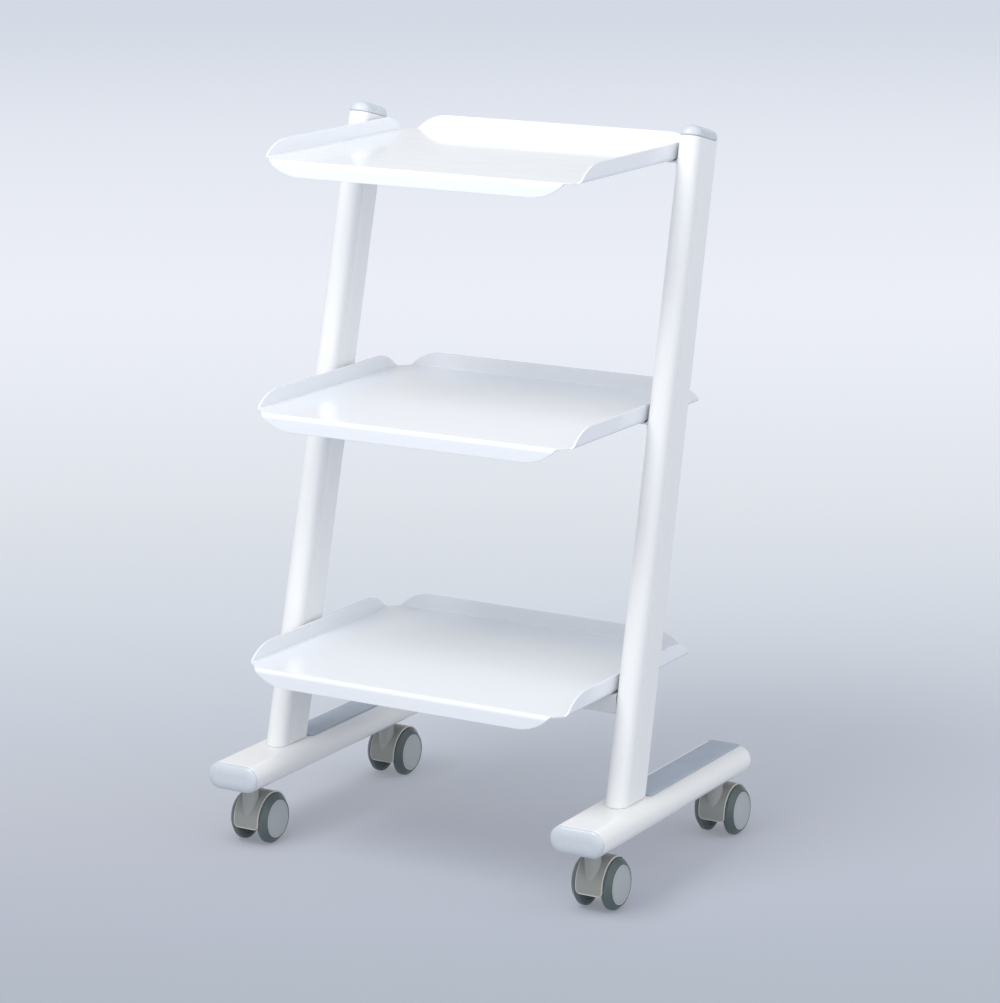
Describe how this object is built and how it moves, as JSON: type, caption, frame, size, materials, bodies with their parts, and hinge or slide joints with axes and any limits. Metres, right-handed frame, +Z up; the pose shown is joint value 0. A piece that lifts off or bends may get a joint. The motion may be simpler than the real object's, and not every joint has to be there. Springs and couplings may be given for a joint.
{
  "type": "rolling salon trolley",
  "caption": "Rolling salon trolley: open folded-sheet trays between two back-leaning D-section posts on flat-oval base rails with swivelling twin-wheel casters.",
  "frame": {"origin": "on the floor, under the middle of the trolley's overall box", "axes": "+X to the right as seen from the front of the trolley, +Y towards the back, +Z up; the folded-down front edges of the trays face -Y"},
  "size_m": [0.4528, 0.3382, 0.7296],
  "materials": {
    "white_extrusion": "white powder coat, satin",
    "white_sheet": "white lacquer, glossy",
    "blue_grey_plastic": "moulded, satin",
    "strip_plastic": "moulded, satin",
    "cross_rail_coat": "white powder coat",
    "bracket_coat": "white powder coat",
    "zinc_steel": "zinc plated",
    "dark_nylon": "moulded, matt",
    "caster_hood_plastic": "moulded, satin",
    "caster_tyre": "soft tread, matt",
    "caster_disc_plastic": "moulded, satin"
  },
  "bodies": {
    "frame": {"base_rail_left": "white_extrusion", "front_cap_left": "blue_grey_plastic", "rear_cap_left": "blue_grey_plastic", "cover_strip_left": "strip_plastic", "post_left": "white_extrusion", "post_cap_left": "blue_grey_plastic", "foot_plug_left": "dark_nylon", "post_bolt_left": "zinc_steel", "bracket_bottom_left": "bracket_coat", "screw_bottom_left": "zinc_steel", "bracket_middle_left": "bracket_coat", "screw_middle_left": "zinc_steel", "bracket_top_left": "bracket_coat", "screw_top_left": "zinc_steel", "base_rail_right": "white_extrusion", "front_cap_right": "blue_grey_plastic", "rear_cap_right": "blue_grey_plastic", "cover_strip_right": "strip_plastic", "post_right": "white_extrusion", "post_cap_right": "blue_grey_plastic", "foot_plug_right": "dark_nylon", "post_bolt_right": "zinc_steel", "bracket_bottom_right": "bracket_coat", "screw_bottom_right": "zinc_steel", "bracket_middle_right": "bracket_coat", "screw_middle_right": "zinc_steel", "bracket_top_right": "bracket_coat", "screw_top_right": "zinc_steel", "cross_rail": "cross_rail_coat", "tray_bottom": "white_sheet", "tray_middle": "white_sheet", "tray_top": "white_sheet", "caster_front_left_stem": "zinc_steel", "caster_front_right_stem": "zinc_steel", "caster_rear_left_stem": "zinc_steel", "caster_rear_right_stem": "zinc_steel"},
    "caster_front_left": {"caster_front_left_hood": "caster_hood_plastic", "caster_front_left_axle": "zinc_steel"},
    "wheel_front_left_l": {"caster_front_left_tyre_l": "caster_tyre", "caster_front_left_disc_l": "caster_disc_plastic"},
    "wheel_front_left_r": {"caster_front_left_tyre_r": "caster_tyre", "caster_front_left_disc_r": "caster_disc_plastic"},
    "caster_front_right": {"caster_front_right_hood": "caster_hood_plastic", "caster_front_right_axle": "zinc_steel"},
    "wheel_front_right_l": {"caster_front_right_tyre_l": "caster_tyre", "caster_front_right_disc_l": "caster_disc_plastic"},
    "wheel_front_right_r": {"caster_front_right_tyre_r": "caster_tyre", "caster_front_right_disc_r": "caster_disc_plastic"},
    "caster_rear_left": {"caster_rear_left_hood": "caster_hood_plastic", "caster_rear_left_axle": "zinc_steel"},
    "wheel_rear_left_l": {"caster_rear_left_tyre_l": "caster_tyre", "caster_rear_left_disc_l": "caster_disc_plastic"},
    "wheel_rear_left_r": {"caster_rear_left_tyre_r": "caster_tyre", "caster_rear_left_disc_r": "caster_disc_plastic"},
    "caster_rear_right": {"caster_rear_right_hood": "caster_hood_plastic", "caster_rear_right_axle": "zinc_steel"},
    "wheel_rear_right_l": {"caster_rear_right_tyre_l": "caster_tyre", "caster_rear_right_disc_l": "caster_disc_plastic"},
    "wheel_rear_right_r": {"caster_rear_right_tyre_r": "caster_tyre", "caster_rear_right_disc_r": "caster_disc_plastic"}
  },
  "joints": [
    {"name": "swivel_front_left", "type": "hinge", "parent": "frame", "child": "caster_front_left", "pos_m": [-0.1972, -0.1325, 0.03], "axis": [0, 0, 1], "continuous": true},
    {"name": "spin_front_left_l", "type": "hinge", "parent": "caster_front_left", "child": "wheel_front_left_l", "pos_m": [-0.1972, -0.1155, 0.0244], "axis": [1, 0, 0], "continuous": true},
    {"name": "spin_front_left_r", "type": "hinge", "parent": "caster_front_left", "child": "wheel_front_left_r", "pos_m": [-0.1972, -0.1155, 0.0244], "axis": [1, 0, 0], "continuous": true},
    {"name": "swivel_front_right", "type": "hinge", "parent": "frame", "child": "caster_front_right", "pos_m": [0.1972, -0.1325, 0.03], "axis": [0, 0, 1], "continuous": true},
    {"name": "spin_front_right_l", "type": "hinge", "parent": "caster_front_right", "child": "wheel_front_right_l", "pos_m": [0.1972, -0.1155, 0.0244], "axis": [1, 0, 0], "continuous": true},
    {"name": "spin_front_right_r", "type": "hinge", "parent": "caster_front_right", "child": "wheel_front_right_r", "pos_m": [0.1972, -0.1155, 0.0244], "axis": [1, 0, 0], "continuous": true},
    {"name": "swivel_rear_left", "type": "hinge", "parent": "frame", "child": "caster_rear_left", "pos_m": [-0.1972, 0.1262, 0.03], "axis": [0, 0, 1], "continuous": true},
    {"name": "spin_rear_left_l", "type": "hinge", "parent": "caster_rear_left", "child": "wheel_rear_left_l", "pos_m": [-0.1972, 0.1432, 0.0244], "axis": [1, 0, 0], "continuous": true},
    {"name": "spin_rear_left_r", "type": "hinge", "parent": "caster_rear_left", "child": "wheel_rear_left_r", "pos_m": [-0.1972, 0.1432, 0.0244], "axis": [1, 0, 0], "continuous": true},
    {"name": "swivel_rear_right", "type": "hinge", "parent": "frame", "child": "caster_rear_right", "pos_m": [0.1972, 0.1262, 0.03], "axis": [0, 0, 1], "continuous": true},
    {"name": "spin_rear_right_l", "type": "hinge", "parent": "caster_rear_right", "child": "wheel_rear_right_l", "pos_m": [0.1972, 0.1432, 0.0244], "axis": [1, 0, 0], "continuous": true},
    {"name": "spin_rear_right_r", "type": "hinge", "parent": "caster_rear_right", "child": "wheel_rear_right_r", "pos_m": [0.1972, 0.1432, 0.0244], "axis": [1, 0, 0], "continuous": true}
  ]
}
